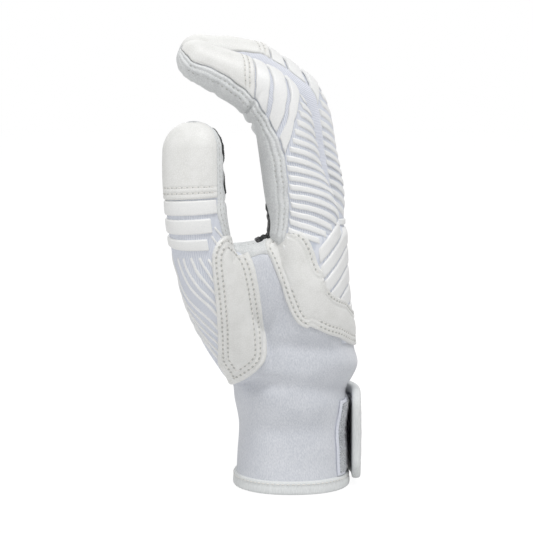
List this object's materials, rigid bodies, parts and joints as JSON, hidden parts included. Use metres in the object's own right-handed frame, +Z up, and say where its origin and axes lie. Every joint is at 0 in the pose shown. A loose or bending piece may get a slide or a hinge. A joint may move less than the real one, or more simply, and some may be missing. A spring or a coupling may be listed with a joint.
{
  "type": "batting glove",
  "caption": "Right-hand batting glove standing on its cuff, fingers curled, with leather palm, knit back, moulded flex bars and a hook-and-loop wrist strap.",
  "frame": {"origin": "middle of the bounding box, at the level of the cuff hem that the glove stands on", "axes": "+Z up from the hem to the fingertips, -X towards the palm and the curled fingertips, -Y towards the thumb"},
  "size_m": [0.088, 0.1096, 0.2035],
  "materials": {
    "neoprene": "brushed jersey face of a foam-backed cloth, pale grey",
    "knit": "ribbed stretch knit, pale lavender grey",
    "palm_leather": "soft pale grey sheepskin",
    "white_leather": "smooth white synthetic leather",
    "grip": "thin black printed grip",
    "moulding": "soft white moulded polymer",
    "tape": "ribbed white binding tape",
    "elastic": "white woven elastic",
    "hook_and_loop": "dark grey fuzzy closure cloth"
  },
  "bodies": {
    "hand": {"cuff_body": "neoprene", "thumb_lower_back": "knit", "little_finger_gusset": "knit", "back_panel": "knit", "palm_panel": "palm_leather", "thumb_patch": "white_leather", "hand_patch": "white_leather", "palm_grip": "grip", "hem_binding": "tape", "wrist_elastic": "elastic", "loop_patch": "hook_and_loop", "strap_anchor": "knit", "thumb_band": "knit", "index_band": "knit", "middle_band": "knit", "ring_band": "knit", "pinky_band": "knit"},
    "index_stall": {"index_front": "palm_leather", "index_tip_cap": "white_leather", "index_side_wall": "knit", "index_back": "knit", "index_bar_1": "moulding", "index_bar_2": "moulding", "index_bar_3": "moulding"},
    "middle_stall": {"middle_front": "palm_leather", "middle_tip_cap": "white_leather", "middle_side_wall_a": "knit", "middle_side_wall_b": "knit", "middle_back": "knit", "middle_bar_1": "moulding", "middle_bar_2": "moulding", "middle_bar_3": "moulding"},
    "ring_stall": {"ring_front": "palm_leather", "ring_tip_cap": "white_leather", "ring_side_wall_a": "knit", "ring_side_wall_b": "knit", "ring_back": "knit", "ring_bar_1": "moulding", "ring_bar_2": "moulding", "ring_bar_3": "moulding"},
    "pinky_stall": {"pinky_front": "palm_leather", "pinky_tip_cap": "white_leather", "pinky_side_wall": "knit", "pinky_back": "knit", "pinky_bar_1": "moulding", "pinky_bar_2": "moulding", "pinky_bar_3": "moulding"},
    "thumb_stall": {"thumb_front": "palm_leather", "thumb_tip_cap": "white_leather", "thumb_back": "knit", "thumb_bar_1": "moulding", "thumb_bar_2": "moulding", "thumb_bar_3": "moulding", "thumb_grip": "grip"},
    "strap_tab": {"strap": "knit", "strap_binding": "tape", "hook_patch": "hook_and_loop", "strap_badge": "moulding"}
  },
  "joints": [
    {"name": "index_flex", "type": "hinge", "parent": "hand", "child": "index_stall", "pos_m": [0.01704, -0.02266, 0.12697], "axis": [0, -1, 0], "range_deg": [-20, 12], "deforming": ["index_band"]},
    {"name": "middle_flex", "type": "hinge", "parent": "hand", "child": "middle_stall", "pos_m": [0.0209, -0.00073, 0.127], "axis": [0, -1, 0], "range_deg": [-20, 12], "deforming": ["middle_band"]},
    {"name": "ring_flex", "type": "hinge", "parent": "hand", "child": "ring_stall", "pos_m": [0.01949, 0.02119, 0.12697], "axis": [0, -1, 0], "range_deg": [-20, 12], "deforming": ["ring_band"]},
    {"name": "pinky_flex", "type": "hinge", "parent": "hand", "child": "pinky_stall", "pos_m": [0.01716, 0.04312, 0.12202], "axis": [0, -1, 0], "range_deg": [-20, 12], "deforming": ["pinky_band"]},
    {"name": "thumb_flex", "type": "hinge", "parent": "hand", "child": "thumb_stall", "pos_m": [-0.02523, -0.03825, 0.10185], "axis": [-0.9571, 0.2393, -0.1637], "range_deg": [-10, 12], "deforming": ["thumb_band"]},
    {"name": "strap_open", "type": "hinge", "parent": "hand", "child": "strap_tab", "pos_m": [0.02501, 0.04719, 0.0235], "axis": [0, 0, 1], "range_deg": [0, 110]}
  ]
}
